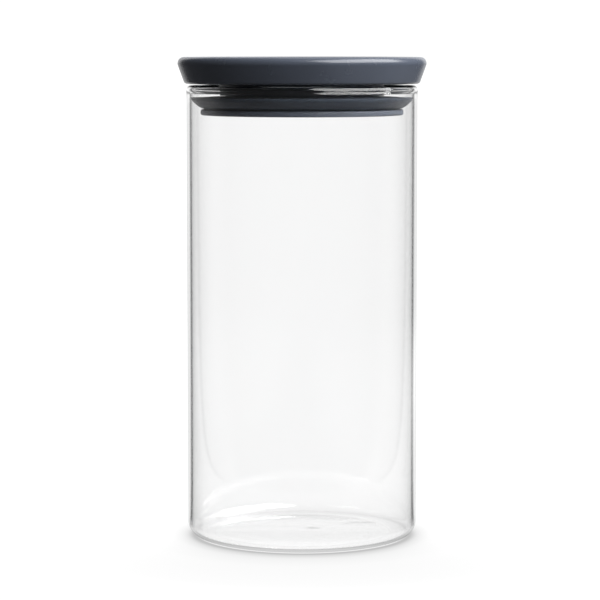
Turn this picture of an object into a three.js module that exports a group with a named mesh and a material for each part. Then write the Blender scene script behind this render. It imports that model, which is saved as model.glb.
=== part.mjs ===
// Glass storage container: a straight cylindrical glass jar with a push-in lid.
//
// Millimetres, +Z up. The origin is the centre of the foot, on the surface the
// jar stands on, and the Z axis is the jar's own axis of revolution.
//
// The lid is a stack of four turned pieces: a hollow flared cap, a core whose
// flange closes the cap from below and whose neck reaches into the jar, a
// silicone seal ring round the neck, and a retainer disc that is pressed into
// the neck and traps the seal. The whole lid lifts straight up out of the jar.

import * as THREE from 'three';

// ---------------------------------------------------------------- dimensions

// Facets round every turned piece.
const FACETS = 64;
// Assembly clearance between pieces that meet.
const GAP = 0.3;

// Glass jar
const JAR_R = 51.1;            // outside radius of the straight wall
const JAR_WALL = 1.85;         // wall thickness
const JAR_H = 200.8;           // foot to the top of the rim
const JAR_HEEL_R = 6.4;        // outside heel rounding
const JAR_FLOOR = 1.6;         // floor thickness
const JAR_HEEL_IN_R = 4.4;     // inside heel rounding
const FOOT_RING_R_IN = 38.5;   // the flat ring it stands on runs from here to the heel
const KICK_UP = 0.7;           // hollow of the underside at the axis
const BEAD_H = 3.2;            // height of the fire-polished rim bead
const BEAD_OUT = 0.3;          // how far the bead stands out of the wall, each side

// Lid cap
const CAP_TOP_Z = 213.4;
const CAP_BOTTOM_Z = 201.6;
const CAP_R = 55.0;            // widest radius, just under the top edge
const CAP_R_WIDE_Z = 210.6;    // height of the widest radius
const CAP_R_BOTTOM = 52.4;     // radius just above the lower corner
const CAP_TOP_ROUND = 2.8;     // top edge rounding
const CAP_LOW_ROUND = 1.6;     // lower edge rounding
const SEAT_R = 50.4;           // stacking recess that takes the foot of another jar
const SEAT_DEPTH = 2.0;
const CAP_PLATE = 2.4;         // thickness of the top under the recess
const CAP_HOLLOW_R = 47.2;     // inside of the skirt above the ledge
const FLANGE_R = 49.3;         // core flange, let into the underside of the cap
const FLANGE_T = 2.0;

// Core neck
const NECK_R = 36.3;           // visible neck between the cap and the seal
const NECK_LOW_R = 33.9;       // stepped-down part that the seal sits on
const NECK_BORE_R = 31.7;
const SHOULDER_Z = 196.7;      // step that stops the seal from riding up

// Seal
const SEAL_TOP_Z = SHOULDER_Z - GAP;
const SEAL_TIP_R = JAR_R - JAR_WALL - GAP;  // lip, clear of the glass by the gap
const SEAL_TIP_Z = 195.4;

// Retainer
const RET_BOTTOM_Z = 187.85;
const RET_TOP_Z = 190.4;
const RET_R = 44.9;
const RET_ROUND = 0.8;
const SPIGOT_TOP_Z = 197.0;
const SPIGOT_WALL = 2.0;

// ------------------------------------------------------------------ helpers

// Points on an arc about (cx, cz), angles in degrees from the +r direction.
function arc(cx, cz, r, a0, a1, steps) {
  const out = [];
  for (let i = 0; i <= steps; i++) {
    const a = THREE.MathUtils.degToRad(a0 + (a1 - a0) * i / steps);
    out.push([cx + r * Math.cos(a), cz + r * Math.sin(a)]);
  }
  return out;
}

// A solid of revolution about Z. The profile is a list of [radius, height]; it
// runs up the outside and down the inside, and closes on itself unless both of
// its ends lie on the axis.
function turned(name, profile, material) {
  const points = profile.map(([r, z]) => new THREE.Vector2(r, z));
  const first = points[0], last = points[points.length - 1];
  if (first.x > 0 || last.x > 0) points.push(first.clone());
  const geometry = new THREE.LatheGeometry(points, FACETS);
  geometry.rotateX(Math.PI / 2);
  const mesh = new THREE.Mesh(geometry, material);
  mesh.name = name;
  return mesh;
}

// ---------------------------------------------------------------- materials

const glass = new THREE.MeshStandardMaterial({
  color: 0xeef4f2, roughness: 0.03, metalness: 0, transparent: true, opacity: 0.35,
});
const slatePlastic = new THREE.MeshStandardMaterial({ color: 0x4b545e, roughness: 0.42, metalness: 0 });
const corePlastic = new THREE.MeshStandardMaterial({ color: 0x3f4750, roughness: 0.48, metalness: 0 });
const silicone = new THREE.MeshStandardMaterial({ color: 0x48525a, roughness: 0.6, metalness: 0 });
const retainerPlastic = new THREE.MeshStandardMaterial({ color: 0x4a525b, roughness: 0.45, metalness: 0 });

// ----------------------------------------------------------------- glass jar

const innerR = JAR_R - JAR_WALL;
const heelCx = JAR_R - JAR_HEEL_R;
const inHeelCx = innerR - JAR_HEEL_IN_R;

const glassJar = turned('glass_jar', [
  // underside: hollowed slightly, then the flat foot ring
  [0, KICK_UP],
  [22, KICK_UP * 0.82],
  [32, KICK_UP * 0.38],
  [FOOT_RING_R_IN, 0],
  // heel
  ...arc(heelCx, JAR_HEEL_R, JAR_HEEL_R, -90, 0, 6),
  // outside wall and rim bead
  [JAR_R, JAR_H - BEAD_H - 0.6],
  [JAR_R + BEAD_OUT, JAR_H - BEAD_H * 0.7],
  [JAR_R + BEAD_OUT * 0.3, JAR_H - 1.3],
  [JAR_R - 0.4, JAR_H - 0.4],
  [JAR_R - 0.9, JAR_H],
  [innerR + 0.6, JAR_H],
  [innerR, JAR_H - 0.7],
  [innerR - BEAD_OUT * 0.6, JAR_H - BEAD_H * 0.5],
  [innerR - BEAD_OUT * 0.5, JAR_H - BEAD_H * 0.75],
  [innerR, JAR_H - BEAD_H],
  // inside wall, inside heel and floor, which follows the underside
  ...arc(inHeelCx, JAR_FLOOR + JAR_HEEL_IN_R, JAR_HEEL_IN_R, 0, -90, 5),
  [32, JAR_FLOOR + KICK_UP * 0.38],
  [22, JAR_FLOOR + KICK_UP * 0.82],
  [0, JAR_FLOOR + KICK_UP],
], glass);

// ------------------------------------------------------------------- lid cap

// The skirt tapers in towards the jar, so the cap is widest near its top edge.
const seatZ = CAP_TOP_Z - SEAT_DEPTH;
const hollowTopZ = seatZ - CAP_PLATE;
const ledgeZ = CAP_BOTTOM_Z + FLANGE_T + GAP;
const topRoundCx = CAP_R - CAP_TOP_ROUND;

const lidCap = turned('lid_cap', [
  [FLANGE_R + GAP, CAP_BOTTOM_Z],
  ...arc(CAP_R_BOTTOM - CAP_LOW_ROUND, CAP_BOTTOM_Z + CAP_LOW_ROUND, CAP_LOW_ROUND, -90, -15, 3),
  ...arc(topRoundCx, CAP_R_WIDE_Z, CAP_TOP_ROUND, -15, 90, 7),
  [SEAT_R + 0.3, CAP_TOP_Z],
  [SEAT_R, CAP_TOP_Z - 0.3],
  [SEAT_R, seatZ],
  [0, seatZ],
  [0, hollowTopZ],
  [CAP_HOLLOW_R, hollowTopZ],
  [CAP_HOLLOW_R, ledgeZ],
  [FLANGE_R + GAP, ledgeZ],
], slatePlastic);

// ------------------------------------------------------------------ lid core

const lidCore = turned('lid_core', [
  [NECK_BORE_R, RET_TOP_Z + GAP],
  [NECK_LOW_R, RET_TOP_Z + GAP],
  [NECK_LOW_R, SHOULDER_Z],
  [NECK_R, SHOULDER_Z],
  [NECK_R, CAP_BOTTOM_Z],
  [FLANGE_R, CAP_BOTTOM_Z],
  [FLANGE_R, CAP_BOTTOM_Z + FLANGE_T],
  [NECK_BORE_R, CAP_BOTTOM_Z + FLANGE_T],
], corePlastic);

// ----------------------------------------------------------------- seal ring

// A wedge-shaped lip: its top falls gently outwards, its underside is a bowl.
const sealRing = turned('seal_ring', [
  [NECK_LOW_R + GAP, RET_TOP_Z + GAP],
  [43.6, RET_TOP_Z + GAP],
  [44.6, 190.95],
  [45.7, 191.7],
  [46.8, 192.6],
  [47.7, 193.5],
  [48.5, 194.4],
  [SEAL_TIP_R, SEAL_TIP_Z - 0.25],
  [SEAL_TIP_R - 0.15, SEAL_TIP_Z + 0.1],
  [SEAL_TIP_R - 0.6, SEAL_TIP_Z + 0.25],
  [37.2, SEAL_TOP_Z],
  [NECK_LOW_R + GAP, SEAL_TOP_Z],
], silicone);

// ------------------------------------------------------------- seal retainer

const spigotR = NECK_BORE_R - GAP;

const sealRetainer = turned('seal_retainer', [
  [0, RET_BOTTOM_Z],
  ...arc(RET_R - RET_ROUND, RET_BOTTOM_Z + RET_ROUND, RET_ROUND, -90, 0, 3),
  ...arc(RET_R - RET_ROUND, RET_TOP_Z - RET_ROUND, RET_ROUND, 0, 90, 3),
  [spigotR, RET_TOP_Z],
  [spigotR, SPIGOT_TOP_Z - 0.6],
  [spigotR - 0.6, SPIGOT_TOP_Z],
  [spigotR - SPIGOT_WALL, SPIGOT_TOP_Z],
  [spigotR - SPIGOT_WALL, RET_TOP_Z],
  [0, RET_TOP_Z],
], retainerPlastic);

// ------------------------------------------------------------------ assembly

const lid = new THREE.Group();
lid.add(lidCap, lidCore, sealRing, sealRetainer);

const container = new THREE.Group();
container.add(glassJar, lid);

export default container;
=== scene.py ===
"""Looks for the glass storage container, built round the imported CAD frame.

Units are metres. Profiles are written in millimetres, as [radius, height], and
every one is tied to the CAD nodes' boxes.
"""
import math

import bmesh
import bpy
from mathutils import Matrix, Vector, noise


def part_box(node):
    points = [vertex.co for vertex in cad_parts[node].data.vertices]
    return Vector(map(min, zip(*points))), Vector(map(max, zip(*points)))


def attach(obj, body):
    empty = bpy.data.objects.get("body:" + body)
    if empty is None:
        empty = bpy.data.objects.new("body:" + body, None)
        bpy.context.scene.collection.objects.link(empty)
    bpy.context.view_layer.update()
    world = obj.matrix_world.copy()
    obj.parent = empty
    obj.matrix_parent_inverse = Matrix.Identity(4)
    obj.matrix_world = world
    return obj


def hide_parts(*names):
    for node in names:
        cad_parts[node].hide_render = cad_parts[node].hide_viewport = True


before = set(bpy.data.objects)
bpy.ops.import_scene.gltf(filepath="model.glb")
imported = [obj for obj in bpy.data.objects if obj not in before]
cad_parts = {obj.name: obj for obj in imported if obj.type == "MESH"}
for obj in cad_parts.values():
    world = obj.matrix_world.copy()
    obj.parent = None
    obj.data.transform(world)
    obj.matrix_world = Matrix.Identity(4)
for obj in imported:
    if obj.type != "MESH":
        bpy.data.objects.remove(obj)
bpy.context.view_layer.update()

scene = bpy.context.scene
scene.view_settings.view_transform = "Standard"
scene.view_settings.look = "None"
scene.cycles.max_bounces = 32
scene.cycles.transmission_bounces = 32
scene.cycles.glossy_bounces = 12
scene.cycles.diffuse_bounces = 5
scene.cycles.transparent_max_bounces = 16

MM = 0.001
# painted contact shadow round the jar's foot: how much of the floor's emitted light is taken off, by distance from the
# axis in mm
PAINTED_CONTACT_SHADOW = [(0, 0.055), (160, 0.0), (36, 0.055), (43.4, 0.045), (44.4, 0.10), (45.2, 0.07), (46.2, 0.14), (47.2, 0.44),
           (48.2, 0.49), (49.4, 0.42), (51.0, 0.27), (52.8, 0.17), (54.6, 0.115), (56.4, 0.08), (58.1, 0.055),
           (62.7, 0.03), (70, 0.012), (85, 0.0)]
# painted cast shadow, strongest in front of the jar: how much of the floor's emitted light is taken off, by distance
# from the axis in mm
PAINTED_CAST_SHADOW = [(0, 0.0), (160, 0.0), (45, 0.0), (47.5, 0.01), (50, 0.06), (52.5, 0.13), (54.7, 0.145), (57.1, 0.13),
        (62, 0.12), (69, 0.11), (74, 0.10), (86, 0.098), (105, 0.09), (115, 0.08), (125, 0.05), (145, 0.01)]


# --------------------------------------------------------------- CAD measures
def mm(node):
    lo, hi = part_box(node)
    return [c / MM for c in lo], [c / MM for c in hi]


jar_lo, jar_hi = mm("glass_jar")
cap_lo, cap_hi = mm("lid_cap")
core_lo, core_hi = mm("lid_core")
seal_lo, seal_hi = mm("seal_ring")
ret_lo, ret_hi = mm("seal_retainer")

RIM_Z = jar_hi[2]
BEAD_R = jar_hi[0]
CAP_Z0, CAP_Z1, CAP_R = cap_lo[2], cap_hi[2], cap_hi[0]
CORE_Z0, CORE_Z1, FLANGE_R = core_lo[2], core_hi[2], core_hi[0]
SEAL_Z0, SEAL_Z1, SEAL_R = seal_lo[2], seal_hi[2], seal_hi[0]
RET_Z0, RET_R = ret_lo[2], ret_hi[0]


# -------------------------------------------------------------------- helpers
def arc(cx, cz, r, a0, a1, n):
    return [
        (cx + r * math.cos(math.radians(a0 + (a1 - a0) * i / n)),
         cz + r * math.sin(math.radians(a0 + (a1 - a0) * i / n)))
        for i in range(n + 1)
    ]


def line(a, b, n):
    return [(a[0] + (b[0] - a[0]) * i / n, a[1] + (b[1] - a[1]) * i / n) for i in range(n + 1)]


def smooth_path(points, n):
    """A Catmull-Rom curve through the points, n steps between each two."""
    out = []
    p = [points[0]] + list(points) + [points[-1]]
    for i in range(1, len(p) - 2):
        for k in range(n):
            t = k / n
            out.append(tuple(
                0.5 * (2 * p[i][c] + (p[i + 1][c] - p[i - 1][c]) * t
                       + (2 * p[i - 1][c] - 5 * p[i][c] + 4 * p[i + 1][c] - p[i + 2][c]) * t * t
                       + (3 * p[i][c] - 3 * p[i + 1][c] + p[i + 2][c] - p[i - 1][c]) * t ** 3)
                for c in (0, 1)))
    out.append(points[-1])
    return out


def tidy(profile):
    out = []
    for p in profile:
        if not out or (abs(p[0] - out[-1][0]) + abs(p[1] - out[-1][1])) > 1e-4:
            out.append(p)
    return out


def turned(name, profile, n, move=None, sharp=35):
    """A closed solid of revolution. move(r, z, a) may shift a point of the surface."""
    profile = tidy(profile)
    bm = bmesh.new()
    rings = []
    for r, z in profile:
        if r < 1e-6:
            x, y, zz = (0.0, 0.0, z) if move is None else move(0.0, z, 0.0)
            rings.append([bm.verts.new((x * MM, y * MM, zz * MM))])
            continue
        ring = []
        for i in range(n):
            a = 2 * math.pi * i / n
            if move is None:
                x, y, zz = r * math.cos(a), r * math.sin(a), z
            else:
                x, y, zz = move(r, z, a)
            ring.append(bm.verts.new((x * MM, y * MM, zz * MM)))
        rings.append(ring)
    closed = len(rings[0]) > 1
    pairs = list(zip(rings, rings[1:] + ([rings[0]] if closed else [])))
    if not closed:
        pairs = pairs[: len(rings) - 1]
    for a, b in pairs:
        for i in range(n):
            j = (i + 1) % n
            if len(a) == 1 and len(b) == 1:
                continue
            if len(a) == 1:
                bm.faces.new((a[0], b[j], b[i]))
            elif len(b) == 1:
                bm.faces.new((a[i], a[j], b[0]))
            else:
                bm.faces.new((a[i], a[j], b[j], b[i]))
    bmesh.ops.recalc_face_normals(bm, faces=bm.faces)
    mesh = bpy.data.meshes.new(name)
    bm.to_mesh(mesh)
    bm.free()
    mesh.shade_smooth()
    mesh.set_sharp_from_angle(angle=math.radians(sharp))
    obj = bpy.data.objects.new(name, mesh)
    scene.collection.objects.link(obj)
    return obj


def material(name):
    m = bpy.data.materials.new(name)
    m.use_nodes = True
    nt = m.node_tree
    b = nt.nodes["Principled BSDF"]
    return m, nt, b


def add(nt, kind, **values):
    n = nt.nodes.new(kind)
    for k, v in values.items():
        if k in n.inputs:
            n.inputs[k].default_value = v
        else:
            setattr(n, k, v)
    return n


# ------------------------------------------------------------------ materials
def moulded(name, base, dark, rough, grain_mm, grain, rough_swing=0.06, specular=0.5, sheen=0.0):
    """Moulded plastic or silicone: a fine spark-eroded grain, cloudy roughness and a faint drift of tone."""
    m, nt, b = material(name)
    coord = add(nt, "ShaderNodeTexCoord")
    drift = add(nt, "ShaderNodeTexNoise", Scale=38.0, Detail=4.0, Roughness=0.55)
    nt.links.new(coord.outputs["Object"], drift.inputs["Vector"])
    ramp = add(nt, "ShaderNodeValToRGB")
    ramp.color_ramp.elements[0].position = 0.32
    ramp.color_ramp.elements[0].color = (*dark, 1)
    ramp.color_ramp.elements[1].position = 0.72
    ramp.color_ramp.elements[1].color = (*base, 1)
    nt.links.new(drift.outputs["Fac"], ramp.inputs["Fac"])
    nt.links.new(ramp.outputs["Color"], b.inputs["Base Color"])
    cloud = add(nt, "ShaderNodeTexNoise", Scale=120.0, Detail=5.0, Roughness=0.6)
    nt.links.new(coord.outputs["Object"], cloud.inputs["Vector"])
    span = add(nt, "ShaderNodeMapRange")
    span.inputs["From Min"].default_value = 0.3
    span.inputs["From Max"].default_value = 0.7
    span.inputs["To Min"].default_value = rough - rough_swing
    span.inputs["To Max"].default_value = rough + rough_swing
    nt.links.new(cloud.outputs["Fac"], span.inputs["Value"])
    nt.links.new(span.outputs["Result"], b.inputs["Roughness"])
    fine = add(nt, "ShaderNodeTexNoise", Scale=1.0 / (grain_mm * MM), Detail=2.0, Roughness=0.5)
    nt.links.new(coord.outputs["Object"], fine.inputs["Vector"])
    bump = add(nt, "ShaderNodeBump", Strength=grain, Distance=0.00006)
    nt.links.new(fine.outputs["Fac"], bump.inputs["Height"])
    nt.links.new(bump.outputs["Normal"], b.inputs["Normal"])
    b.inputs["Specular IOR Level"].default_value = specular
    b.inputs["Sheen Weight"].default_value = sheen
    b.inputs["Sheen Roughness"].default_value = 0.5
    return m


cap_mat = moulded("slate_satin_plastic", (0.076, 0.088, 0.116), (0.067, 0.078, 0.103), 0.26, 0.35, 0.11, rough_swing=0.02)
core_mat = moulded("slate_core_plastic", (0.060, 0.072, 0.094), (0.052, 0.063, 0.084), 0.45, 0.4, 0.25)
ret_mat = moulded("slate_retainer_plastic", (0.066, 0.078, 0.102), (0.058, 0.069, 0.091), 0.42, 0.4, 0.25)
seal_mat = moulded("slate_silicone", (0.027, 0.034, 0.047), (0.023, 0.030, 0.042), 0.50, 0.6, 0.2, specular=0.25, sheen=0.02)


def glass_material(name):
    """Clear drawn glass, with painted shade: its inner face is tinted grey where it is seen at a grazing angle, to
    draw the dark line of the thick edge.
    """
    m, nt, b = material(name)
    coord = add(nt, "ShaderNodeTexCoord")
    b.inputs["Transmission Weight"].default_value = 1.0
    b.inputs["IOR"].default_value = 1.48
    # drawn glass: long faint waves along the height
    stretch = add(nt, "ShaderNodeMapping")
    stretch.inputs["Scale"].default_value = (1.0, 1.0, 0.16)
    nt.links.new(coord.outputs["Object"], stretch.inputs["Vector"])
    wave = add(nt, "ShaderNodeTexNoise", Scale=42.0, Detail=2.0, Roughness=0.4)
    nt.links.new(stretch.outputs["Vector"], wave.inputs["Vector"])
    bump = add(nt, "ShaderNodeBump", Strength=0.02, Distance=0.0006)
    nt.links.new(wave.outputs["Fac"], bump.inputs["Height"])
    nt.links.new(bump.outputs["Normal"], b.inputs["Normal"])
    # faint haze that varies over the surface, as wiped glass has
    haze = add(nt, "ShaderNodeTexNoise", Scale=26.0, Detail=6.0, Roughness=0.62)
    nt.links.new(coord.outputs["Object"], haze.inputs["Vector"])
    span = add(nt, "ShaderNodeMapRange")
    span.inputs["From Min"].default_value = 0.35
    span.inputs["From Max"].default_value = 0.8
    span.inputs["To Min"].default_value = 0.0
    span.inputs["To Max"].default_value = 0.003
    nt.links.new(haze.outputs["Fac"], span.inputs["Value"])
    nt.links.new(span.outputs["Result"], b.inputs["Roughness"])
    # painted shade: the inner face, the part of the surface nearer the axis, is tinted grey where it is seen at a
    # grazing angle
    flat = add(nt, "ShaderNodeVectorMath", operation="MULTIPLY")
    flat.inputs[1].default_value = (1, 1, 0)
    nt.links.new(coord.outputs["Object"], flat.inputs[0])
    radius = add(nt, "ShaderNodeVectorMath", operation="LENGTH")
    nt.links.new(flat.outputs["Vector"], radius.inputs[0])
    within = add(nt, "ShaderNodeMath", operation="LESS_THAN")
    within.inputs[1].default_value = (RI + 0.6) * MM
    nt.links.new(radius.outputs["Value"], within.inputs[0])
    look = add(nt, "ShaderNodeLayerWeight", Blend=0.5)
    painted_edge_shade = add(nt, "ShaderNodeValToRGB")
    painted_edge_shade.color_ramp.interpolation = "EASE"
    painted_edge_shade.color_ramp.elements[0].position = 0.82
    painted_edge_shade.color_ramp.elements[0].color = (1, 1, 1, 1)
    painted_edge_shade.color_ramp.elements[1].position = 0.97
    painted_edge_shade.color_ramp.elements[1].color = (0.45, 0.46, 0.47, 1)
    nt.links.new(look.outputs["Facing"], painted_edge_shade.inputs["Fac"])
    painted_edge_tint = add(nt, "ShaderNodeMix", data_type="RGBA")
    nt.links.new(within.outputs["Value"], painted_edge_tint.inputs["Factor"])
    painted_edge_tint.inputs[6].default_value = (1, 1, 1, 1)
    nt.links.new(painted_edge_shade.outputs["Color"], painted_edge_tint.inputs[7])
    nt.links.new(painted_edge_tint.outputs[2], b.inputs["Base Color"])
    out = nt.nodes["Material Output"]
    vol = add(nt, "ShaderNodeVolumeAbsorption", Color=(0.90, 0.93, 0.94, 1), Density=12.0)
    nt.links.new(vol.outputs["Volume"], out.inputs["Volume"])
    return m


R, WALL, HEEL, FLOOR, HEEL_IN = 51.1, 1.85, 6.4, 1.6, 4.4
RI = R - WALL
KICK = 0.7
glass_mat = glass_material("clear_glass")

# ------------------------------------------------------------------ glass jar
hx, hix = R - HEEL, RI - HEEL_IN
under = smooth_path([(0, KICK), (11, KICK * 0.97), (22, KICK * 0.80), (32, KICK * 0.36), (38.2, 0.03), (39.5, 0.0)], 6)
outside = under + line((39.5, 0), (hx, 0), 3) + arc(hx, HEEL, HEEL, -90, 0, 22)
wall_out = line((R, HEEL), (R, RIM_Z - 3.9), 40)
bead = smooth_path([
    (R, RIM_Z - 3.9), (R + 0.06, RIM_Z - 3.2), (BEAD_R - 0.10, RIM_Z - 2.5), (BEAD_R - 0.10, RIM_Z - 1.95),
    (R + 0.06, RIM_Z - 1.4), (R - 0.17, RIM_Z - 0.9), (R - 0.44, RIM_Z - 0.42), (R - 0.76, RIM_Z - 0.08), (R - 1.0, RIM_Z),
    (RI + 0.62, RIM_Z - 0.03), (RI + 0.26, RIM_Z - 0.25), (RI - 0.05, RIM_Z - 0.75),
    (RI - 0.22, RIM_Z - 1.45), (RI - 0.23, RIM_Z - 2.0), (RI - 0.10, RIM_Z - 2.6), (RI + 0.02, RIM_Z - 3.1), (RI, RIM_Z - 3.9)], 6)
wall_in = line((RI, RIM_Z - 3.9), (RI, FLOOR + HEEL_IN), 40)
inside = arc(hix, FLOOR + HEEL_IN, HEEL_IN, 0, -90, 18)
floor_in = smooth_path([(hix, FLOOR), (42, FLOOR + 0.02), (37, FLOOR + 0.16), (30, FLOOR + KICK * 0.5), (21, FLOOR + KICK * 0.84), (11, FLOOR + KICK * 0.98), (0, FLOOR + KICK)], 9)
profile = outside + wall_out[1:] + bead[1:] + wall_in[1:] + inside[1:] + floor_in[1:]
profile = tidy(profile)


def press_marks(r, z, a):
    """Soft unevenness that the floor keeps from forming: a few shallow swirls, and a gather point near the middle."""
    x, y = r * math.cos(a), r * math.sin(a)
    dz = 0.0
    if z < 9 and r < 44.5 and z > FLOOR - 0.5:
        inner = 1.0 - min(1.0, max(0.0, (r - 36.0) / 8.0))
        patch = math.exp(-(((x - 11) / 22) ** 2 + ((y - 14) / 16) ** 2))
        swirl = noise.noise(Vector((x * 0.045 + 3.1, y * 0.16 + 1.7, 0.4)))
        dz += inner * (0.010 + 0.050 * patch) * swirl
        # a gather point, where the glass was cut off
        d2 = ((x - 5) ** 2 / 14.0 + (y + 1) ** 2 / 9.0)
        dz -= 0.05 * math.exp(-d2)
    return x, y, z + dz


jar = turned("glass_body", profile, 360, move=press_marks, sharp=60)
jar.data.materials.append(glass_mat)
jar.visible_shadow = False   # clear glass: it does not stop the lamps from reaching the pieces inside
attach(jar, "jar")
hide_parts("glass_jar")

# -------------------------------------------------------------------- lid cap
TOP_ROUND, LOW_ROUND, R_LOW, WIDE_Z = 2.8, 1.6, 52.4, 210.6
SEAT_R, SEAT_D, PLATE, HOLLOW_R = 50.4, 2.0, 2.4, 47.2
seat_z = CAP_Z1 - SEAT_D
slope = math.degrees(math.atan2(WIDE_Z - (CAP_Z0 + LOW_ROUND), (CAP_R - TOP_ROUND) - (R_LOW - LOW_ROUND)))
cap_profile = (
    arc(FLANGE_R + 0.3 + 0.25, CAP_Z0 + 0.25, 0.25, 180, 270, 4)
    + arc(R_LOW - LOW_ROUND, CAP_Z0 + LOW_ROUND, LOW_ROUND, -90, -16, 10)
    + arc(CAP_R - TOP_ROUND, WIDE_Z, TOP_ROUND, -16, 90, 20)
    + arc(SEAT_R + 0.5, CAP_Z1 - 0.5, 0.5, 90, 180, 6)
    + arc(SEAT_R - 0.7, seat_z + 0.7, 0.7, 0, -90, 6)
    + line((SEAT_R - 0.7, seat_z), (0, seat_z), 14)
    + line((0, seat_z - PLATE), (HOLLOW_R - 0.8, seat_z - PLATE), 6)
    + arc(HOLLOW_R - 0.8, seat_z - PLATE - 0.8, 0.8, 90, 0, 5)
    + [(HOLLOW_R, CORE_Z1 + 0.3), (FLANGE_R + 0.3, CORE_Z1 + 0.3)]
)
cap = turned("lid_cap_shell", cap_profile, 320, sharp=50)
cap.data.materials.append(cap_mat)
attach(cap, "lid")
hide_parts("lid_cap")

# ------------------------------------------------------------------- lid core
NECK_R, NECK_LOW_R, BORE_R, SHOULDER = 36.3, 33.9, 31.7, 196.7
core_profile = (
    arc(BORE_R + 0.3, CORE_Z0 + 0.3, 0.3, 180, 270, 3)
    + arc(NECK_LOW_R - 0.3, CORE_Z0 + 0.3, 0.3, -90, 0, 3)
    + [(NECK_LOW_R, SHOULDER)]
    + arc(NECK_R - 0.25, SHOULDER + 0.25, 0.25, -90, 0, 4)
    + arc(NECK_R + 0.8, CAP_Z0 - 0.8, 0.8, 180, 90, 8)
    + arc(FLANGE_R - 0.25, CAP_Z0 + 0.25, 0.25, -90, 0, 4)
    + [(FLANGE_R, CORE_Z1), (BORE_R, CORE_Z1)]
)
core = turned("lid_core_neck", core_profile, 256, sharp=50)
core.data.materials.append(core_mat)
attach(core, "lid")
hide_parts("lid_core")

# ------------------------------------------------------------------ seal ring
TIP_R = RI - 0.28
tip_z = SEAL_Z1 - 0.92
bowl = smooth_path([
    (43.4, SEAL_Z0), (44.6, SEAL_Z0 + 0.28), (45.8, SEAL_Z0 + 0.98), (46.9, SEAL_Z0 + 1.85),
    (47.8, SEAL_Z0 + 2.75), (48.6, SEAL_Z0 + 3.6), (TIP_R - 0.05, tip_z - 0.3)], 5)
seal_profile = (
    [(NECK_LOW_R + 0.3, SEAL_Z0)] + bowl
    + arc(TIP_R - 0.32, tip_z, 0.32, -20, 96, 8)
    + smooth_path([(TIP_R - 0.5, tip_z + 0.33), (46.5, SEAL_Z1 - 0.66), (42.5, SEAL_Z1 - 0.30), (38.5, SEAL_Z1 - 0.05), (37.0, SEAL_Z1)], 5)
    + [(NECK_LOW_R + 0.3, SEAL_Z1)]
)
seal = turned("seal_lip", seal_profile, 256, sharp=50)
seal.data.materials.append(seal_mat)
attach(seal, "lid")
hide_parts("seal_ring")

# ------------------------------------------------------------------- retainer
RET_Z1, RR = 190.4, 0.8
spr = BORE_R - 0.3
ret_profile = (
    line((0, RET_Z0), (RET_R - RR, RET_Z0), 12)
    + arc(RET_R - RR, RET_Z0 + RR, RR, -90, 0, 10)
    + arc(RET_R - RR, RET_Z1 - RR, RR, 0, 90, 10)
    + [(spr, RET_Z1), (spr, 196.4), (spr - 0.6, 197.0), (spr - 2.0, 197.0), (spr - 2.0, RET_Z1)]
    + line((spr - 2.0, RET_Z1), (0, RET_Z1), 8)
)
ret = turned("seal_retainer_disc", ret_profile, 256, sharp=50)
ret.data.materials.append(ret_mat)
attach(ret, "lid")
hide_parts("seal_retainer")

# ---------------------------------------------------------------------- stage
# A white sweep. What the camera sees, straight or through clear glass, is white all round, save for a painted contact
# shadow round the foot and a painted cast shadow in front. What the pieces are lit by and mirror is a dim studio with
# one bright panel behind the object, and a painted pool of light on the table at the right; the panel, with the
# painted shade on the glass's inner face, draws the edges of the glass.
WHITE = 1.07
PANEL = 1.03          # the bright panel behind
SWEEP = 0.82          # the part of the sweep below it
ROOM_LEVEL = 0.07     # the rest of the studio
PAINTED_LIGHT_POOL = 0.25           # painted pool of light on the table at the right, seen only in mirrored light
SIDE = 0.42           # side walls, as the inside of the glass mirrors them
WASH = 0.50           # how much of the painted contact shadow is taken off where it is seen through glass
TABLE = 0.66          # the table round the foot, as mirrored light sees it


def studio_level(nt, vector, panel):
    """Brightness of the studio in the direction, or at the floor point, that the vector gives."""
    flat = add(nt, "ShaderNodeVectorMath", operation="MULTIPLY")
    flat.inputs[1].default_value = (1, 1, 0)
    nt.links.new(vector, flat.inputs[0])
    unit = add(nt, "ShaderNodeVectorMath", operation="NORMALIZE")
    nt.links.new(flat.outputs["Vector"], unit.inputs[0])
    split = add(nt, "ShaderNodeSeparateXYZ")
    nt.links.new(unit.outputs["Vector"], split.inputs["Vector"])

    def step(lo, hi, a, b):
        ramp = add(nt, "ShaderNodeMapRange", interpolation_type="SMOOTHSTEP")
        ramp.inputs["From Min"].default_value = lo
        ramp.inputs["From Max"].default_value = hi
        ramp.inputs["To Min"].default_value = a
        ramp.inputs["To Max"].default_value = b
        nt.links.new(split.outputs["Y"], ramp.inputs["Value"])
        return ramp.outputs["Result"]

    def times(a, b):
        node = add(nt, "ShaderNodeMath", operation="MULTIPLY")
        nt.links.new(a, node.inputs[0])
        nt.links.new(b, node.inputs[1])
        return node.outputs["Value"]

    # the side walls show only in light that has been inside the glass
    path = add(nt, "ShaderNodeLightPath")
    inside_glass = add(nt, "ShaderNodeMath", operation="GREATER_THAN")
    inside_glass.inputs[1].default_value = 0.5
    nt.links.new(path.outputs["Transmission Depth"], inside_glass.inputs[0])
    clean = add(nt, "ShaderNodeMath", operation="LESS_THAN")
    clean.inputs[1].default_value = 0.5
    nt.links.new(path.outputs["Diffuse Depth"], clean.inputs[0])
    walls = times(times(step(-0.2, 0.35, 0.0, SIDE), step(0.79, 0.86, 1.0, 0.0)),
                  times(inside_glass.outputs["Value"], clean.outputs["Value"]))
    total = add(nt, "ShaderNodeMath", operation="ADD")
    nt.links.new(step(0.865, 0.915, ROOM_LEVEL, panel), total.inputs[0])
    nt.links.new(walls, total.inputs[1])
    return total.outputs["Value"]


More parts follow.
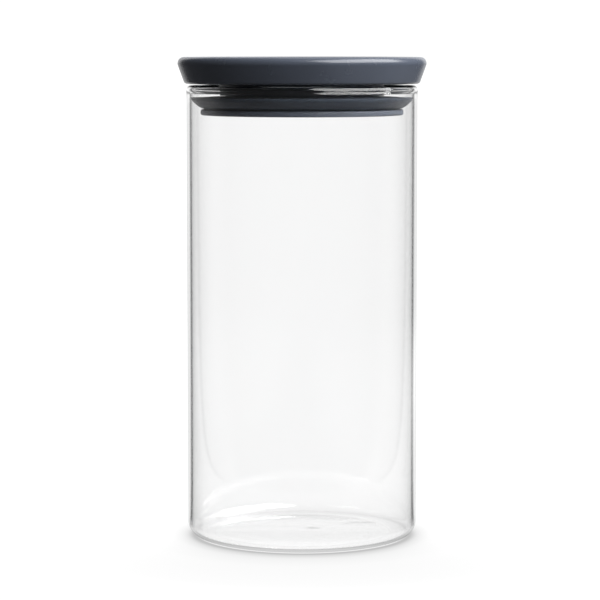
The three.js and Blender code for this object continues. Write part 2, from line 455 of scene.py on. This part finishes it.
def bounced(nt):
    """1 where the light has been mirrored or scattered on its way, 0 where it comes straight or through glass."""
    path = add(nt, "ShaderNodeLightPath")
    total = add(nt, "ShaderNodeMath", operation="ADD")
    nt.links.new(path.outputs["Diffuse Depth"], total.inputs[0])
    nt.links.new(path.outputs["Glossy Depth"], total.inputs[1])
    more = add(nt, "ShaderNodeMath", operation="GREATER_THAN")
    more.inputs[1].default_value = 0.5
    nt.links.new(total.outputs["Value"], more.inputs[0])
    return more.outputs["Value"]


bm = bmesh.new()
bmesh.ops.create_circle(bm, cap_ends=True, segments=128, radius=40.0)
mesh = bpy.data.meshes.new("studio_floor")
bm.to_mesh(mesh)
bm.free()
ground = bpy.data.objects.new("studio_floor", mesh)
scene.collection.objects.link(ground)
m, nt, b = material("studio_white_painted_shadow")
nt.nodes.remove(b)
coord = add(nt, "ShaderNodeTexCoord")
length = add(nt, "ShaderNodeVectorMath", operation="LENGTH")
nt.links.new(coord.outputs["Object"], length.inputs[0])
# painted shadow on the emissive floor: a tight contact shadow all round the foot, and a broad faint cast shadow in
# front of it
SPAN = 160.0
scaled = add(nt, "ShaderNodeMath", operation="DIVIDE", use_clamp=True)
nt.links.new(length.outputs["Value"], scaled.inputs[0])
scaled.inputs[1].default_value = SPAN * MM


def falloff(points):
    node = add(nt, "ShaderNodeFloatCurve")
    curve = node.mapping.curves[0]
    for k, (r, v) in enumerate(points):
        if k < 2:
            curve.points[k].location = (r / SPAN, v)
        else:
            curve.points.new(r / SPAN, v)
    node.mapping.update()
    nt.links.new(scaled.outputs["Value"], node.inputs["Value"])
    return node.outputs["Value"]


# the painted cast shadow is full in front of the jar and fades to nothing at the sides and back
side = add(nt, "ShaderNodeVectorMath", operation="NORMALIZE")
nt.links.new(coord.outputs["Object"], side.inputs[0])
side_y = add(nt, "ShaderNodeSeparateXYZ")
nt.links.new(side.outputs["Vector"], side_y.inputs["Vector"])
front = add(nt, "ShaderNodeMapRange", interpolation_type="SMOOTHSTEP")
front.inputs["From Min"].default_value = -1.0
front.inputs["From Max"].default_value = 0.0
front.inputs["To Min"].default_value = 1.0
front.inputs["To Max"].default_value = 0.0
nt.links.new(side_y.outputs["Y"], front.inputs["Value"])
# painted shadow amount: the painted cast shadow times its frontness, plus the painted contact shadow
dark = add(nt, "ShaderNodeMath", operation="MULTIPLY_ADD")
nt.links.new(falloff(PAINTED_CAST_SHADOW), dark.inputs[0])
nt.links.new(front.outputs["Result"], dark.inputs[1])
# where the floor is seen through the clear heel, the painted contact shadow is made weaker by WASH
lightpath = add(nt, "ShaderNodeLightPath")
through = add(nt, "ShaderNodeMath", operation="MINIMUM")
nt.links.new(lightpath.outputs["Transmission Depth"], through.inputs[0])
through.inputs[1].default_value = 1.0
washed = add(nt, "ShaderNodeMath", operation="MULTIPLY_ADD")
nt.links.new(through.outputs["Value"], washed.inputs[0])
washed.inputs[1].default_value = -WASH
washed.inputs[2].default_value = 1.0
painted_contact_shade = add(nt, "ShaderNodeMath", operation="MULTIPLY")
nt.links.new(falloff(PAINTED_CONTACT_SHADOW), painted_contact_shade.inputs[0])
nt.links.new(washed.outputs["Value"], painted_contact_shade.inputs[1])
nt.links.new(painted_contact_shade.outputs["Value"], dark.inputs[2])
# the floor glows WHITE, less the painted shadow
lit = add(nt, "ShaderNodeMath", operation="MULTIPLY_ADD")
nt.links.new(dark.outputs["Value"], lit.inputs[0])
lit.inputs[1].default_value = -WHITE
lit.inputs[2].default_value = WHITE
mix = add(nt, "ShaderNodeEmission", Color=(1, 1, 1, 1))
nt.links.new(lit.outputs["Value"], mix.inputs["Strength"])
# mirrored light sees the table bright close to the foot, and the dim studio further out
split = add(nt, "ShaderNodeSeparateXYZ")
nt.links.new(coord.outputs["Object"], split.inputs["Vector"])
wide = add(nt, "ShaderNodeMath", operation="ABSOLUTE")
nt.links.new(split.outputs["X"], wide.inputs[0])
past = add(nt, "ShaderNodeMath", operation="SUBTRACT")
nt.links.new(wide.outputs["Value"], past.inputs[0])
past.inputs[1].default_value = 0.05
beyond = add(nt, "ShaderNodeMath", operation="MAXIMUM")
nt.links.new(past.outputs["Value"], beyond.inputs[0])
beyond.inputs[1].default_value = 0.0
wedge = add(nt, "ShaderNodeCombineXYZ")
nt.links.new(beyond.outputs["Value"], wedge.inputs["X"])
nt.links.new(split.outputs["Y"], wedge.inputs["Y"])
close = add(nt, "ShaderNodeMapRange", interpolation_type="SMOOTHSTEP")
close.inputs["From Min"].default_value = 0.056
close.inputs["From Max"].default_value = 0.078
close.inputs["To Min"].default_value = 1.0
close.inputs["To Max"].default_value = 0.0
nt.links.new(length.outputs["Value"], close.inputs["Value"])
under = add(nt, "ShaderNodeMapRange", interpolation_type="SMOOTHSTEP")
under.inputs["From Min"].default_value = 0.034
under.inputs["From Max"].default_value = 0.041
nt.links.new(length.outputs["Value"], under.inputs["Value"])
ring = add(nt, "ShaderNodeMath", operation="MULTIPLY")
nt.links.new(close.outputs["Result"], ring.inputs[0])
nt.links.new(under.outputs["Result"], ring.inputs[1])
table = add(nt, "ShaderNodeMath", operation="MULTIPLY")
nt.links.new(lit.outputs["Value"], table.inputs[0])
table.inputs[1].default_value = TABLE
blend = add(nt, "ShaderNodeMix", data_type="FLOAT")
nt.links.new(ring.outputs["Value"], blend.inputs["Factor"])
nt.links.new(studio_level(nt, wedge.outputs["Vector"], SWEEP), blend.inputs["A"])
nt.links.new(table.outputs["Value"], blend.inputs["B"])
# a painted pool of light on the table to the right, standing in for the key light's, seen only in mirrored light
east = add(nt, "ShaderNodeMapRange", interpolation_type="SMOOTHSTEP")
east.inputs["From Min"].default_value = 0.03
east.inputs["From Max"].default_value = 0.30
nt.links.new(split.outputs["X"], east.inputs["Value"])
reach = add(nt, "ShaderNodeMapRange", interpolation_type="SMOOTHSTEP")
reach.inputs["From Min"].default_value = 0.45
reach.inputs["From Max"].default_value = 1.1
reach.inputs["To Min"].default_value = PAINTED_LIGHT_POOL
reach.inputs["To Max"].default_value = 0.0
nt.links.new(length.outputs["Value"], reach.inputs["Value"])
painted_pool = add(nt, "ShaderNodeMath", operation="MULTIPLY_ADD")
nt.links.new(east.outputs["Result"], painted_pool.inputs[0])
nt.links.new(reach.outputs["Result"], painted_pool.inputs[1])
nt.links.new(blend.outputs["Result"], painted_pool.inputs[2])
second = add(nt, "ShaderNodeEmission", Color=(1, 1, 1, 1))
nt.links.new(painted_pool.outputs["Value"], second.inputs["Strength"])
either = add(nt, "ShaderNodeMixShader")
nt.links.new(bounced(nt), either.inputs["Fac"])
nt.links.new(mix.outputs["Emission"], either.inputs[1])
nt.links.new(second.outputs["Emission"], either.inputs[2])
nt.links.new(either.outputs["Shader"], nt.nodes["Material Output"].inputs["Surface"])
ground.data.materials.append(m)
ground.visible_diffuse = False

world = bpy.data.worlds.new("studio")
scene.world = world
world.use_nodes = True
wt = world.node_tree
bg = wt.nodes["Background"]
wcoord = add(wt, "ShaderNodeTexCoord")
strength = add(wt, "ShaderNodeMix", data_type="FLOAT")
wt.links.new(bounced(wt), strength.inputs["Factor"])
strength.inputs["A"].default_value = WHITE
wt.links.new(studio_level(wt, wcoord.outputs["Generated"], PANEL), strength.inputs["B"])
wt.links.new(strength.outputs["Result"], bg.inputs["Strength"])
bg.inputs["Color"].default_value = (1, 1, 1, 1)


def softbox(name, azimuth, elevation, distance, size, power, aim=(0, 0, 0.12), colour=(1, 1, 1)):
    """azimuth 0 is at the camera, and grows towards the camera's right."""
    a, e = math.radians(azimuth), math.radians(elevation)
    pos = Vector((math.sin(a) * math.cos(e), -math.cos(a) * math.cos(e), math.sin(e))) * distance + Vector(aim)
    data = bpy.data.lights.new(name, "AREA")
    data.shape = "RECTANGLE"
    data.size, data.size_y = size
    data.energy = power
    data.color = colour
    obj = bpy.data.objects.new(name, data)
    obj.location = pos
    obj.rotation_euler = (Vector(aim) - pos).to_track_quat("-Z", "Y").to_euler()
    scene.collection.objects.link(obj)
    return obj


overhead = softbox("overhead", 0, 90, 1.9, (2.4, 2.4), 3.0, aim=(0, 0.1, 0))
key = softbox("key", 66, 44, 1.7, (2.5, 1.4), 88.0)

# --------------------------------------------------------------------- camera
cam_data = bpy.data.cameras.new("camera")
cam_data.lens = 152.0
cam_data.sensor_width = 36.0
cam_data.clip_end = 100.0
cam = bpy.data.objects.new("camera", cam_data)
cam.location = (-0.00089, -1.125, 0.2165)
cam.rotation_euler = (math.radians(90 - 5.64), 0, 0)
scene.collection.objects.link(cam)
scene.camera = cam
